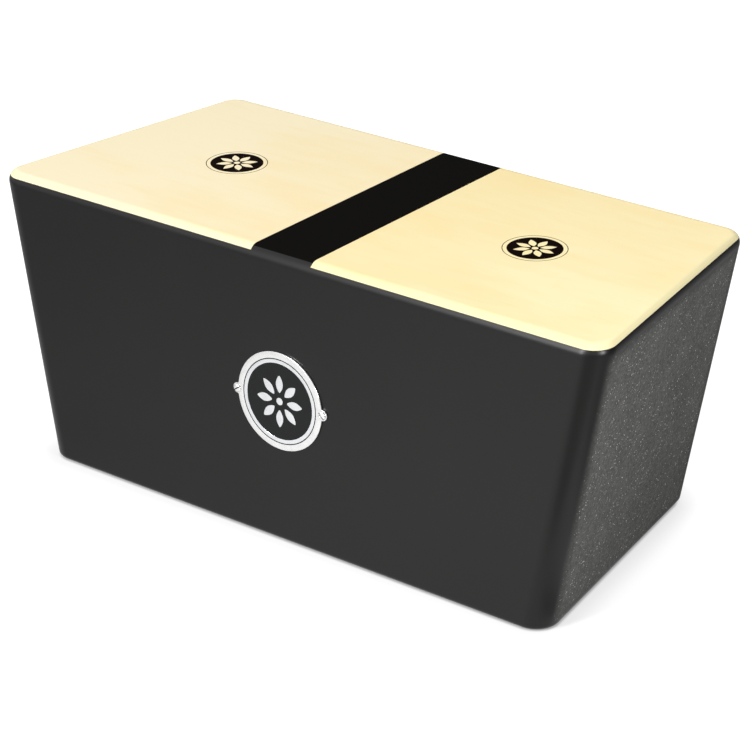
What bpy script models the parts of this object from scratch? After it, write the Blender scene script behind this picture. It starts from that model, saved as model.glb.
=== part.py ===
"""Bongo cajon: a wooden box drum with a low and a high playing board, held between the knees.

The box is longer along its top than along its foot, and longer in front than behind. It is glued up from flat
boards, and its edges are rounded over afterwards, through walls, playing boards and rail alike. So each outer
piece here is a plain board cut to one rounded form of the whole case.

Lengths are in metres. In the case's own frame X runs along the length, towards the high drum, Y runs from the
badge's face to the player's, and Z is up. One empty carries the case and puts the middle of its box over the
origin, on the floor.
"""

import math

import bmesh
import bpy

# Case, measured to the sharp corners that the flat faces would meet in
TOP_FRONT_LENGTH = 0.508
TOP_BACK_LENGTH = 0.444
FOOT_FRONT_LENGTH = 0.434
DEPTH = 0.224
HEIGHT = 0.211
CORNER_RADIUS = 0.0166
TOP_ROUNDOVER = 0.0085
FOOT_ROUNDOVER = 0.0035

# Boards
WALL = 0.012
PLAYING_BOARD = 0.0032
BOTTOM_BOARD = 0.006
FOOT_LIP = 0.006
RAIL_WIDTH = 0.0497
RAIL_OFFSET = 0.0013
GLUE_GAP = 0.0003

# Bridge beam, divider and corner posts inside the case
BEAM_WIDTH = 0.070
BEAM_HEIGHT = 0.015
BEAM_HOUSING = 0.004
DIVIDER = 0.009
DIVIDER_OFFSET = 0.010
DIVIDER_GROOVE = 0.004
POST_LEG = 0.020

# Sound ports in the back panel
PORT_DIAMETER = 0.050
PORT_ROUNDOVER = 0.003
PORT_FROM_MIDDLE = 0.105

# Badge: a flat plate with two ears, a fine groove and a pocket for the enamel
BADGE_OFFSET = 0.0013
BADGE_RADIUS = 0.0355
BADGE_THICKNESS = 0.0012
BADGE_EDGE = 0.0004
GROOVE_RADIUS = 0.0306
GROOVE_WIDTH = 0.0005
GROOVE_DEPTH = 0.0004
ENAMEL_RADIUS = 0.0276
ENAMEL_POCKET = 0.0007
ENAMEL_DROP = 0.0001
EAR_FROM_MIDDLE = 0.036
EAR_RADIUS = 0.0038
PIN_HEAD_RADIUS = 0.003
PIN_HEAD_HEIGHT = 0.0012
PIN_SHANK_RADIUS = 0.001
PIN_IN_WALL = 0.008

# Facets
CORNER_STEPS = 10
TOP_STEPS = 8
FOOT_STEPS = 3
PORT_STEPS = 40
PORT_ROUNDOVER_STEPS = 4
BADGE_STEPS = 56
RIM_STEPS = 26
EAR_STEPS = 10
PIN_STEPS = 20
DOME_STEPS = 4

SHARP_EDGE = math.radians(30)

# How far a cutting tool runs past the stock, how close points are one, and how square a flat end is to its axis
OVERRUN = 0.010
SAME_PLACE = 1e-6
ALONG_AXIS = 0.9999

END_SPLAY = (TOP_FRONT_LENGTH - TOP_BACK_LENGTH) / 2 / DEPTH
END_TAPER = (TOP_FRONT_LENGTH - FOOT_FRONT_LENGTH) / 2 / HEIGHT
END_SLANT = math.sqrt(1 + END_SPLAY**2 + END_TAPER**2)
WALL_TOP = HEIGHT - PLAYING_BOARD - GLUE_GAP
BEAM_UNDERSIDE = WALL_TOP - BEAM_HEIGHT
PLATE_FACE = GLUE_GAP + BADGE_THICKNESS
PIN_SEAT = PLATE_FACE + GLUE_GAP
BADGE_PROUD = PIN_SEAT + PIN_HEAD_HEIGHT


def end_reach(depth, height):
    """Distance from the middle of the case to the flat of either end, at a depth and a height."""
    return TOP_FRONT_LENGTH / 2 - END_SPLAY * depth - END_TAPER * (HEIGHT - height)


def case_outline(height, inset):
    """Round the case at a height, anticlockwise from the front right corner, moved in by an inset."""
    splay = math.atan(END_SPLAY)
    front = CORNER_RADIUS
    back = DEPTH - CORNER_RADIUS
    corners = (
        (1, front, -math.pi / 2, splay),
        (1, back, splay, math.pi / 2),
        (-1, back, math.pi / 2, math.pi - splay),
        (-1, front, math.pi - splay, math.pi * 3 / 2),
    )
    points = []
    for side, depth, start, stop in corners:
        middle = side * (end_reach(depth, height) - CORNER_RADIUS * math.hypot(1, END_SPLAY))
        for step in range(CORNER_STEPS + 1):
            angle = start + (stop - start) * step / CORNER_STEPS
            reach = CORNER_RADIUS - inset
            points.append((middle + reach * math.cos(angle), depth + reach * math.sin(angle), height))
    return points


def upright(place):
    """End of a board that is square to its length, at a place along X."""
    return lambda depth, height: place


def along_end(side, inset):
    """End of a board that runs along the flat of the case's end, a distance inside it."""
    return lambda depth, height: side * (end_reach(depth, height) - inset * END_SLANT)


def finish(name, colour, roughness, metallic=0.0):
    """Plain material for one kind of surface."""
    material = bpy.data.materials.new(name)
    material.use_nodes = True
    shader = material.node_tree.nodes["Principled BSDF"]
    shader.inputs["Base Color"].default_value = (*colour, 1)
    shader.inputs["Roughness"].default_value = roughness
    shader.inputs["Metallic"].default_value = metallic
    material.diffuse_color = (*colour, 1)
    return material


def add_object(name, shape, carrier, material=None):
    """Object with the shape's mesh under a carrier; one with no material is a cutting tool."""
    mesh = bpy.data.meshes.new(name)
    shape.to_mesh(mesh)
    shape.free()
    mesh.shade_smooth()
    mesh.set_sharp_from_angle(angle=SHARP_EDGE)
    piece = bpy.data.objects.new(name, mesh)
    piece.parent = carrier
    bpy.context.collection.objects.link(piece)
    if material:
        mesh.materials.append(material)
    else:
        piece.hide_render = True
        piece.display_type = "WIRE"
    return piece


def lofted(rings):
    """Closed shape through level rings of points, each anticlockwise, from the lowest to the highest."""
    shape = bmesh.new()
    loops = [[shape.verts.new(point) for point in ring] for ring in rings]
    for lower, upper in zip(loops, loops[1:]):
        for here in range(len(lower)):
            after = (here + 1) % len(lower)
            shape.faces.new((lower[here], lower[after], upper[after], upper[here]))
    shape.faces.new(reversed(loops[0]))
    shape.faces.new(loops[-1])
    return shape


def board(low_end, high_end, depths, heights):
    """Board between two depths and two heights, with an end shape at either end of its length."""
    front, back = depths
    rings = []
    for height in heights:
        rings.append(
            [
                (low_end(front, height), front, height),
                (high_end(front, height), front, height),
                (high_end(back, height), back, height),
                (low_end(back, height), back, height),
            ]
        )
    return lofted(rings)


def turned(profile, steps):
    """Shape turned about Y from (radius, depth) points: from axis to axis, or closed for a ring.

    The first facet straddles the X axis, so a corner of the shape never lies on the line between the badge's ears.
    """
    shape = bmesh.new()
    across = math.cos(math.pi / steps)
    up = math.sin(math.pi / steps)
    line = [shape.verts.new((radius * across, depth, radius * up)) for radius, depth in profile]
    edges = [shape.edges.new(pair) for pair in zip(line, line[1:])]
    bmesh.ops.spin(
        shape,
        geom=line + edges,
        cent=(0, 0, 0),
        axis=(0, 1, 0),
        dvec=(0, 0, 0),
        angle=math.tau,
        steps=steps,
        use_merge=True,
    )
    bmesh.ops.remove_doubles(shape, verts=shape.verts, dist=SAME_PLACE)
    bmesh.ops.recalc_face_normals(shape, faces=shape.faces)
    on_axis = [point for point in shape.verts if math.hypot(point.co.x, point.co.z) < SAME_PLACE]
    # A flat end is one face, without the fan of edges to its middle
    flat_ends = [point for point in on_axis if all(abs(face.normal.y) > ALONG_AXIS for face in point.link_faces)]
    bmesh.ops.dissolve_verts(shape, verts=flat_ends)
    return shape


def use_tool(piece, tool, operation):
    """Live Boolean of a tool on a piece."""
    change = piece.modifiers.new(tool.name, "BOOLEAN")
    change.object = tool
    change.operation = operation
    change.solver = "EXACT"


def rounded_form():
    """Outer form of the whole case, with its corners, top edge and foot edge rounded over."""
    rings = []
    for step in range(FOOT_STEPS + 1):
        turn = math.pi / 2 * step / FOOT_STEPS
        rings.append(case_outline(FOOT_ROUNDOVER * (1 - math.cos(turn)), FOOT_ROUNDOVER * (1 - math.sin(turn))))
    for step in range(TOP_STEPS, -1, -1):
        turn = math.pi / 2 * step / TOP_STEPS
        drop = TOP_ROUNDOVER * (1 - math.cos(turn))
        rings.append(case_outline(HEIGHT - drop, TOP_ROUNDOVER * (1 - math.sin(turn))))
    return lofted(rings)


def add_tools(carrier):
    """Cutting tools that the boards of the case share."""
    tools = {"form": add_object("case_form", rounded_form(), carrier)}

    foot = [case_outline(height, FOOT_LIP - GLUE_GAP) for height in (-OVERRUN, BOTTOM_BOARD + GLUE_GAP)]
    tools["rebate"] = add_object("foot_rebate_tool", lofted(foot), carrier)

    beam = BEAM_WIDTH / 2 + GLUE_GAP
    housing = board(
        upright(-beam),
        upright(beam),
        (WALL - BEAM_HOUSING, DEPTH - WALL + BEAM_HOUSING),
        (BEAM_UNDERSIDE - GLUE_GAP, HEIGHT + OVERRUN),
    )
    tools["housing"] = add_object("beam_housing_tool", housing, carrier)

    groove = DIVIDER / 2 + GLUE_GAP
    grooves = board(
        upright(DIVIDER_OFFSET - groove),
        upright(DIVIDER_OFFSET + groove),
        (WALL - DIVIDER_GROOVE, DEPTH - WALL + DIVIDER_GROOVE),
        (BOTTOM_BOARD / 2, BEAM_UNDERSIDE + BEAM_HEIGHT / 2),
    )
    tools["groove"] = add_object("divider_groove_tool", grooves, carrier)
    return tools


def add_walls(carrier, tools, lacquer, grip_coat):
    """Front and back panels, which run the whole length, and the two ends between them."""
    heights = (-OVERRUN, WALL_TOP)
    past_ends = TOP_FRONT_LENGTH / 2 + OVERRUN
    walls = {}
    for name, depths in (("front_panel", (-OVERRUN, WALL)), ("back_panel", (DEPTH - WALL, DEPTH + OVERRUN))):
        stock = board(upright(-past_ends), upright(past_ends), depths, heights)
        walls[name] = add_object(name, stock, carrier, lacquer)
        use_tool(walls[name], tools["form"], "INTERSECT")
        use_tool(walls[name], tools["rebate"], "DIFFERENCE")
        use_tool(walls[name], tools["housing"], "DIFFERENCE")
        use_tool(walls[name], tools["groove"], "DIFFERENCE")

    between = (WALL + GLUE_GAP, DEPTH - WALL - GLUE_GAP)
    left = board(along_end(-1, -OVERRUN), along_end(-1, WALL), between, heights)
    right = board(along_end(1, WALL), along_end(1, -OVERRUN), between, heights)
    for name, stock in (("left_end_panel", left), ("right_end_panel", right)):
        walls[name] = add_object(name, stock, carrier, grip_coat)
        use_tool(walls[name], tools["form"], "INTERSECT")
        use_tool(walls[name], tools["rebate"], "DIFFERENCE")
    return walls


def cut_ports(back_panel, carrier):
    """Sound port into each chamber, rounded over at the player's face."""
    radius = PORT_DIAMETER / 2
    profile = [(0, DEPTH - WALL - OVERRUN), (radius, DEPTH - WALL - OVERRUN)]
    for step in range(PORT_ROUNDOVER_STEPS):
        turn = math.pi / 2 * step / PORT_ROUNDOVER_STEPS
        out = PORT_ROUNDOVER * (1 - math.cos(turn))
        profile.append((radius + out, DEPTH - PORT_ROUNDOVER * (1 - math.sin(turn))))
    # The last facet runs on through the face, as far again as it is long
    before_last = profile[-1]
    profile.append((2 * (radius + PORT_ROUNDOVER) - before_last[0], 2 * DEPTH - before_last[1]))
    profile.append((profile[-1][0], DEPTH + OVERRUN))
    profile.append((0, DEPTH + OVERRUN))
    middle = (BOTTOM_BOARD + WALL_TOP) / 2
    for name, side in (("low_port_tool", -1), ("high_port_tool", 1)):
        tool = add_object(name, turned(profile, PORT_STEPS), carrier)
        tool.location = (side * PORT_FROM_MIDDLE, 0, middle)
        use_tool(back_panel, tool, "DIFFERENCE")


def add_inside(carrier, raw_board):
    """Bottom board, divider, bridge beam and the glue blocks in the four upright corners."""
    bottom = lofted([case_outline(height, FOOT_LIP) for height in (0, BOTTOM_BOARD)])
    add_object("bottom_panel", bottom, carrier, raw_board)

    groove_floor = WALL - DIVIDER_GROOVE + GLUE_GAP
    divider = board(
        upright(DIVIDER_OFFSET - DIVIDER / 2),
        upright(DIVIDER_OFFSET + DIVIDER / 2),
        (groove_floor, DEPTH - groove_floor),
        (BOTTOM_BOARD + GLUE_GAP, BEAM_UNDERSIDE - GLUE_GAP),
    )
    add_object("divider", divider, carrier, raw_board)

    housing_floor = WALL - BEAM_HOUSING + GLUE_GAP
    beam = board(
        upright(-BEAM_WIDTH / 2),
        upright(BEAM_WIDTH / 2),
        (housing_floor, DEPTH - housing_floor),
        (BEAM_UNDERSIDE, WALL_TOP),
    )
    add_object("bridge_beam", beam, carrier, raw_board)

    for row, depth, into in (("front", WALL + GLUE_GAP, 1), ("back", DEPTH - WALL - GLUE_GAP, -1)):
        for hand, side in (("left", -1), ("right", 1)):
            inner_end = along_end(side, WALL + GLUE_GAP)
            rings = []
            for height in (BOTTOM_BOARD + GLUE_GAP, WALL_TOP):
                corner = (inner_end(depth, height), depth, height)
                along_wall = (corner[0] - side * POST_LEG, depth, height)
                far = depth + into * POST_LEG
                along_side = (inner_end(far, height), far, height)
                ring = [corner, along_side, along_wall]
                rings.append(ring if side * into > 0 else ring[::-1])
            add_object(f"{row}_{hand}_post", lofted(rings), carrier, raw_board)


def add_top(carrier, tools, pale_ply, lacquer):
    """Two playing boards and the rail between them, all cut to the case's rounded form."""
    past_ends = TOP_FRONT_LENGTH / 2 + OVERRUN
    depths = (-OVERRUN, DEPTH + OVERRUN)
    heights = (HEIGHT - PLAYING_BOARD, HEIGHT + OVERRUN)
    rail_low, rail_high = RAIL_OFFSET - RAIL_WIDTH / 2, RAIL_OFFSET + RAIL_WIDTH / 2
    pieces = (
        ("low_playing_board", -past_ends, rail_low - GLUE_GAP, pale_ply),
        ("high_playing_board", rail_high + GLUE_GAP, past_ends, pale_ply),
        ("centre_rail", rail_low, rail_high, lacquer),
    )
    for name, low_end, high_end, material in pieces:
        stock = board(upright(low_end), upright(high_end), depths, heights)
        piece = add_object(name, stock, carrier, material)
        use_tool(piece, tools["form"], "INTERSECT")


def plate_outline(depth, inset):
    """Edge of the badge at a depth, moved in by an inset: a circle that breaks out into a round ear each side."""
    plate = BADGE_RADIUS - inset
    ear = EAR_RADIUS - inset
    apart = EAR_FROM_MIDDLE
    plate_turn = math.acos((apart**2 + plate**2 - ear**2) / (2 * apart * plate))
    ear_turn = math.pi - math.acos((apart**2 + ear**2 - plate**2) / (2 * apart * ear))
    arcs = (
        (0, plate, plate_turn, math.pi - plate_turn, RIM_STEPS),
        (-apart, ear, math.pi - ear_turn, math.pi + ear_turn, EAR_STEPS),
        (0, plate, math.pi + plate_turn, math.tau - plate_turn, RIM_STEPS),
        (apart, ear, -ear_turn, ear_turn, EAR_STEPS),
    )
    points = []
    for middle, radius, start, stop, steps in arcs:
        for step in range(steps):
            angle = start + (stop - start) * step / steps
            points.append((middle + radius * math.cos(angle), depth, radius * math.sin(angle)))
    return points


def ring_profile(radius, width, back, front):
    """Section of a square ring about the axis, closed."""
    inner, outer = radius - width / 2, radius + width / 2
    return [(inner, back), (outer, back), (outer, front), (inner, front), (inner, back)]


def disc_profile(radius, back, front):
    """Half section of a plain disc or rod between two depths."""
    return [(0, back), (radius, back), (radius, front), (0, front)]


def pin_profile():
    """Half section of a pin: a plain shank in the wall and a low domed head on the ear."""
    profile = [(0, PIN_IN_WALL), (PIN_SHANK_RADIUS, PIN_IN_WALL), (PIN_SHANK_RADIUS, -PIN_SEAT)]
    for step in range(DOME_STEPS):
        turn = math.pi / 2 * step / DOME_STEPS
        profile.append((PIN_HEAD_RADIUS * math.cos(turn), -PIN_SEAT - PIN_HEAD_HEIGHT * math.sin(turn)))
    profile.append((0, -PIN_SEAT - PIN_HEAD_HEIGHT))
    return profile


def add_badge(carrier, front_panel, plated, enamel_black):
    """Badge in the middle of the front, its enamel, and a pin through each ear into the wall."""
    middle = HEIGHT / 2
    eased = plate_outline(-PLATE_FACE, BADGE_EDGE)
    blank = lofted([plate_outline(-GLUE_GAP, 0), plate_outline(BADGE_EDGE - PLATE_FACE, 0), eased])
    plate = add_object("badge_plate", blank, carrier, plated)
    plate.location = (BADGE_OFFSET, 0, middle)

    groove = ring_profile(GROOVE_RADIUS, GROOVE_WIDTH, GROOVE_DEPTH - PLATE_FACE, -OVERRUN)
    pocket = disc_profile(ENAMEL_RADIUS, ENAMEL_POCKET - PLATE_FACE, -OVERRUN)
    for name, profile in (("badge_groove_tool", groove), ("badge_pocket_tool", pocket)):
        tool = add_object(name, turned(profile, BADGE_STEPS), carrier)
        tool.location = plate.location
        use_tool(plate, tool, "DIFFERENCE")

    pocket_floor = PLATE_FACE - ENAMEL_POCKET
    field = disc_profile(ENAMEL_RADIUS - GLUE_GAP, -pocket_floor - GLUE_GAP, -PLATE_FACE + ENAMEL_DROP)
    enamel = add_object("badge_enamel", turned(field, BADGE_STEPS), carrier, enamel_black)
    enamel.location = plate.location

    hole = disc_profile(PIN_SHANK_RADIUS + GLUE_GAP, PIN_IN_WALL + GLUE_GAP, -OVERRUN)
    for hand, side in (("left", -1), ("right", 1)):
        drill = add_object(f"{hand}_pin_drill", turned(hole, PIN_STEPS), carrier)
        pin = add_object(f"badge_pin_{hand}", turned(pin_profile(), PIN_STEPS), carrier, plated)
        for piece in (drill, pin):
            piece.location = (BADGE_OFFSET + side * EAR_FROM_MIDDLE, 0, middle)
        use_tool(plate, drill, "DIFFERENCE")
        use_tool(front_panel, drill, "DIFFERENCE")


def main():
    """Clears the file and builds the drum."""
    for old in list(bpy.data.objects):
        bpy.data.objects.remove(old, do_unlink=True)

    carrier = bpy.data.objects.new("bongo_cajon", None)
    carrier.location = (0, (BADGE_PROUD - DEPTH) / 2, 0)
    bpy.context.collection.objects.link(carrier)

    lacquer = finish("satin_black_lacquer", (0.030, 0.029, 0.028), 0.42)
    grip_coat = finish("black_grip_coat", (0.075, 0.074, 0.070), 0.75)
    pale_ply = finish("pale_plywood", (0.93, 0.80, 0.54), 0.38)
    raw_board = finish("raw_fibreboard", (0.42, 0.28, 0.16), 0.85)
    plated = finish("plated_metal", (0.86, 0.86, 0.87), 0.18, 1.0)
    enamel_black = finish("badge_enamel_black", (0.024, 0.026, 0.028), 0.30)

    tools = add_tools(carrier)
    walls = add_walls(carrier, tools, lacquer, grip_coat)
    cut_ports(walls["back_panel"], carrier)
    add_inside(carrier, raw_board)
    add_top(carrier, tools, pale_ply, lacquer)
    add_badge(carrier, walls["front_panel"], plated, enamel_black)


main()
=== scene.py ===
"""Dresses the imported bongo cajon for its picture: painted case, plywood playing boards and plated badge.

The case is one rounded form: longer along its top than along its foot, and longer in front than behind. Each
wall, playing board and the rail here is a fine surface of that same form, closed into a solid, and takes the
place of the CAD board it stands for. The paint runs on over the joints, so the pieces of the case meet with
no gap between them.

Lengths are in metres. In the case's own frame X runs along the length, towards the high drum, Y runs from the
badge's face to the player's, and Z is up.
"""

import logging
import math
from dataclasses import dataclass
from enum import Enum
from functools import partial, reduce
from typing import NamedTuple

import bpy
import numpy as np
import numpy.typing as npt
from mathutils import Matrix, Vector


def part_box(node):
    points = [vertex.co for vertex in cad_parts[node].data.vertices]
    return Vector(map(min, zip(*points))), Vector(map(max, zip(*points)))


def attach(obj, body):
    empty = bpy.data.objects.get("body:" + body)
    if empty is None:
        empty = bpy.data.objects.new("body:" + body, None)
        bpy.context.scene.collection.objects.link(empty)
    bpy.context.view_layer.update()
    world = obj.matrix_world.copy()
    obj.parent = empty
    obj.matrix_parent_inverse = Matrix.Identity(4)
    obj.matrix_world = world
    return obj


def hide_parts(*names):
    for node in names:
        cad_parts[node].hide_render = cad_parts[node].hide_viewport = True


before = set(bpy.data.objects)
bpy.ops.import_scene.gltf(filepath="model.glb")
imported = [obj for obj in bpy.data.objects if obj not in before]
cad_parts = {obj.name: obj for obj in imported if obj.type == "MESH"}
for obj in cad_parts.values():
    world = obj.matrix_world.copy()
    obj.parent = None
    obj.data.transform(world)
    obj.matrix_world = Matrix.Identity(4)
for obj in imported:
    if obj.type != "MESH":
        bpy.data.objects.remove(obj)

Array = npt.NDArray[np.float64]
Place = tuple[float, float, float]
Colour = tuple[float, float, float]
Socket = bpy.types.NodeSocket
Input = float | Socket
Sockets = dict[str | int, Input | Place]
Material = bpy.types.Material
Piece = bpy.types.Object

log = logging.getLogger("bongo_cajon")

BODY = "root"
SHARP_EDGE = math.radians(32)
QUARTER = math.pi / 2
ORIGIN: Place = (0.0, 0.0, 0.0)


class Slot(Enum):
    """Material slots of the record, whose names the main finishes have too."""

    LACQUER = "satin_black_lacquer"
    GRIP_COAT = "black_grip_coat"
    RAW_BOARD = "raw_fibreboard"
    PALE_PLY = "pale_plywood"
    PLATED = "plated_metal"
    ENAMEL = "badge_enamel_black"


class LongWall(Enum):
    """The two walls that run the whole length, by the way they face along Y."""

    FRONT = -1
    BACK = 1


class Side(Enum):
    """The two ends of the drum, by the way they face along X."""

    LOW = -1
    HIGH = 1

    @property
    def hand(self) -> str:
        """Which hand the end is on, seen from the badge's side."""
        return "left" if self is Side.LOW else "right"


def steps(start: float, stop: float, count: int) -> Array:
    """Evenly spaced values from start to stop, both included."""
    return np.linspace(start, stop, count + 1)


def full_turn(count: int) -> Array:
    """Angles of a full turn, one for each facet."""
    return steps(0.0, math.tau, count)[:-1]


def ease(low: float, high: float, value: Array) -> Array:
    """Smooth rise from 0 at low to 1 at high: three times the square of the share less twice its cube."""
    share = np.clip((value - low) / (high - low), 0.0, 1.0)
    return share * share * (3.0 - 2.0 * share)


def rounding(radius: float, turn: Array) -> tuple[Array, Array]:
    """Offsets of a rounding at each angle: the radius times 1 less the cosine, and times 1 less the sine."""
    return radius * (1.0 - np.cos(turn)), radius * (1.0 - np.sin(turn))


@dataclass(frozen=True)
class CaseForm:
    """Rounded outer form that the walls, playing boards and rail share.

    The ends are planes: their distance from the middle is half the top front length, less the splay times the
    depth and the taper times the distance below the top. The margin is a narrow facet beside each rounding,
    which keeps its shading off the flat.
    """

    top_front_length: float = 0.508
    top_back_length: float = 0.444
    foot_front_length: float = 0.434
    depth: float = 0.224
    height: float = 0.211
    corner: float = 0.0166
    top_roundover: float = 0.0085
    foot_roundover: float = 0.0035
    wall: float = 0.012
    board: float = 0.0032
    bottom_board: float = 0.006
    glue_line: float = 0.0003
    rail_width: float = 0.0497
    rail_offset: float = 0.0013
    foot_lip: float = 0.0057
    bottom_seat: float = 0.0063
    margin: float = 0.0006
    foot_facets: int = 9
    top_facets: int = 14

    @property
    def splay(self) -> float:
        """How far each end comes in for each unit of depth."""
        return (self.top_front_length - self.top_back_length) / 2 / self.depth

    @property
    def taper(self) -> float:
        """How far each end comes in for each unit below the top."""
        return (self.top_front_length - self.foot_front_length) / 2 / self.height

    @property
    def turn(self) -> float:
        """Angle in plan between X and the way an end faces."""
        return math.atan(self.splay)

    @property
    def board_seam(self) -> float:
        """Height of the joint between the walls and the playing boards."""
        return self.height - self.board - self.glue_line / 2

    @property
    def wall_seam(self) -> float:
        """How far behind a long wall's outer face its joint with the ends lies."""
        return self.wall + self.glue_line / 2

    def behind(self, wall: LongWall, distance: float) -> float:
        """Depth of what lies a distance behind the outer face of a long wall."""
        return distance if wall is LongWall.FRONT else self.depth - distance

    def reach(self, depth: Array | float, height: Array | float) -> Array:
        """Distance from the middle to the flat of either end."""
        below_top = self.height - np.asarray(height)
        return self.top_front_length / 2 - self.splay * np.asarray(depth) - self.taper * below_top

    def arc(self, depth: float, rows: Array, start: Array, stop: Array, count: int) -> Array:
        """Part of a corner's rounding on the high side, for every row of a profile.

        A point is the rounding's middle plus the corner radius less the row's inset along (cos, sin) of an
        angle that runs evenly from start to stop.

        Args:
            depth: Depth of the rounding's middle.
            rows: Heights and insets, one pair for each row.
            start: First angle of each row.
            stop: Last angle of each row.
            count: Facets along the arc.

        Returns:
            Points as rows by columns by 3.
        """
        height, inset = rows[:, :1], rows[:, 1:]
        share = steps(0.0, 1.0, count)[None, :]
        angle = start[:, None] * (1.0 - share) + stop[:, None] * share
        radius = self.corner - inset
        middle = self.reach(depth, height) - self.corner * math.hypot(1.0, self.splay)
        across = middle + radius * np.cos(angle)
        return np.stack([across, depth + radius * np.sin(angle), height + 0.0 * angle], axis=-1)

    def seam_angle(self, seam_depth: float, depth: float, inset: Array) -> Array:
        """Angle on a corner's rounding at which the joint between two walls crosses it."""
        return np.arcsin((seam_depth - depth) / (self.corner - inset))

    def foot_rows(self) -> Array:
        """Outer skin from the foot's lip up to the flat of the wall: a quarter round.

        Returns:
            Heights and insets, one pair for each row.
        """
        height, inset = rounding(self.foot_roundover, steps(0.0, QUARTER, self.foot_facets))
        lip = np.array([[0.0, self.foot_lip], [0.0, self.foot_roundover + self.margin]])
        return np.concatenate([lip, np.stack([height, inset], axis=-1)])

    def top_rows(self, low: float, high: float) -> Array:
        """Outer skin on the top roundover between two heights: a quarter round, cut short.

        Args:
            low: Height that it starts from.
            high: Height that it ends at.

        Returns:
            Heights and insets, one pair for each row.
        """
        risen = (np.array([low, high]) - self.height) / self.top_roundover + 1.0
        first, last = np.arcsin(np.clip(risen, 0.0, 1.0))
        inset, below = rounding(self.top_roundover, steps(first, last, self.top_facets))
        return np.stack([self.height - below, inset], axis=-1)

    def wall_rows(self, count: int) -> Array:
        """Outer skin of a wall from the foot's lip to the joint with the playing boards.

        Args:
            count: Facets up the flat, with a narrow one at either end.

        Returns:
            Heights and insets, one pair for each row.
        """
        foot = self.foot_rows()
        top = self.top_rows(self.height - self.top_roundover, self.board_seam)
        low, high = foot[-1, 0], top[0, 0]
        heights = np.concatenate([[low + self.margin], steps(low, high, count)[1:-1], [high - self.margin]])
        return np.concatenate([foot, np.stack([heights, np.zeros_like(heights)], axis=-1), top])


def joined(stretches: list[Array], count: int, closed: bool = False) -> Array:
    """Stretches of an outline one after another, with a straight run of points from each to the next.

    A point of a run is its first column plus an even share of the way to its last.

    Args:
        stretches: Points as rows by columns by 3, all with the same rows.
        count: Facets of each straight run.
        closed: Whether a run leads from the last stretch back to the first.

    Returns:
        Points as rows by columns by 3.
    """
    share = steps(0.0, 1.0, count)[1:-1]
    parts = stretches[:1]
    for before, after in zip(stretches, [*stretches[1:], stretches[0]]):
        first, last = before[:, -1:], after[:, :1]
        parts = [*parts, first + (last - first) * share[None, :, None], after]
    return np.concatenate(parts[:-1] if closed else parts[:-2], axis=1)


def mirrored(points: Array) -> Array:
    """The same points on the other side of the middle."""
    return points * np.array([-1.0, 1.0, 1.0])


def turned(radii: Array, depths: Array, middle: tuple[float, float], count: int) -> Array:
    """Loops about an axis along Y: the middle plus each radius along (cos, sin) of the angle.

    Args:
        radii: Radius of each loop, or of each point of each loop.
        depths: Depth along Y, in the same form.
        middle: Where the axis stands in X and Z.
        count: Facets round the axis.

    Returns:
        Loops as rows by columns by 3.
    """
    angle = full_turn(count)
    radii, depths = (values if values.ndim == 2 else values[:, None] for values in (radii, depths))
    across = middle[0] + radii * np.cos(angle)
    up = middle[1] + radii * np.sin(angle)
    return np.stack([across, depths + 0.0 * across, up], axis=-1)


@dataclass
class Loft:
    """Closed solid through loops of points: quads from loop to loop, and a face over the two end loops."""

    loops: Array

    def faces(self) -> tuple[Array, list[Array]]:
        """Corner numbers of the quads and of the two end faces, turned so that the solid faces out.

        Returns:
            Quads as an array of four corners each, and the two end faces.
        """
        count, around = self.loops.shape[:2]
        numbers = np.arange(count * around).reshape(count, around)
        after = np.roll(numbers, -1, axis=1)
        quads = np.stack([numbers[:-1], after[:-1], after[1:], numbers[1:]], axis=-1).reshape(-1, 4)
        ends = [numbers[0][::-1], numbers[-1]]
        if self.volume(quads) < 0.0:
            return quads[:, ::-1], [end[::-1] for end in ends]
        return quads, ends

    def volume(self, quads: Array) -> float:
        """Signed volume inside the quads, with each end closed by a fan.

        It is a sixth of the sum over triangles of first dot (second cross third).

        Args:
            quads: Corner numbers, four to a face.

        Returns:
            The volume, below 0 where the quads face in.
        """
        points = self.loops.reshape(-1, 3)
        triangles = [points[quads[:, [0, 1, 2]]], points[quads[:, [0, 2, 3]]]]
        for loop, way in ((self.loops[0], -1), (self.loops[-1], 1)):
            middle = np.broadcast_to(loop.mean(axis=0), loop.shape)
            triangles.append(np.stack([middle, loop, np.roll(loop, -1, axis=0)][::way], axis=1))
        first, second, third = np.moveaxis(np.concatenate(triangles), 1, 0)
        return float(np.einsum("ij,ij->i", first, np.cross(second, third)).sum() / 6.0)


def smooth(mesh: bpy.types.Mesh) -> None:
    """Shades a mesh smooth where its facets meet at less than the sharp edge's angle."""
    mesh.shade_smooth()
    mesh.set_sharp_from_angle(angle=SHARP_EDGE)


def make_piece(name: str, lofts: list[Loft], shift: float) -> Piece:
    """Object at the origin that holds the given solids, moved along Y into the row's frame.

    Args:
        name: Name of the piece.
        lofts: Its closed solids, in the case's own frame.
        shift: How far the case's own frame lies along Y in the row's frame.

    Returns:
        The object, riding on the drum's only body.
    """
    points: list[Array] = []
    corners: list[list[int]] = []
    first = 0
    for loft in lofts:
        quads, ends = loft.faces()
        corners.extend((quads + first).tolist())
        corners.extend((end + first).tolist() for end in ends)
        points.append(loft.loops.reshape(-1, 3))
        first += len(points[-1])
    mesh = bpy.data.meshes.new(name)
    mesh.from_pydata((np.concatenate(points) + np.array([0.0, shift, 0.0])).tolist(), [], corners)
    smooth(mesh)
    mesh.update()
    piece = bpy.data.objects.new(name, mesh)
    bpy.context.scene.collection.objects.link(piece)
    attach(piece, BODY)
    log.info("%s: %d faces", name, len(mesh.polygons))
    return piece


def take_place(node: str) -> None:
    """Hides the CAD node whose place a piece takes."""
    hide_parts(node)


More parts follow.
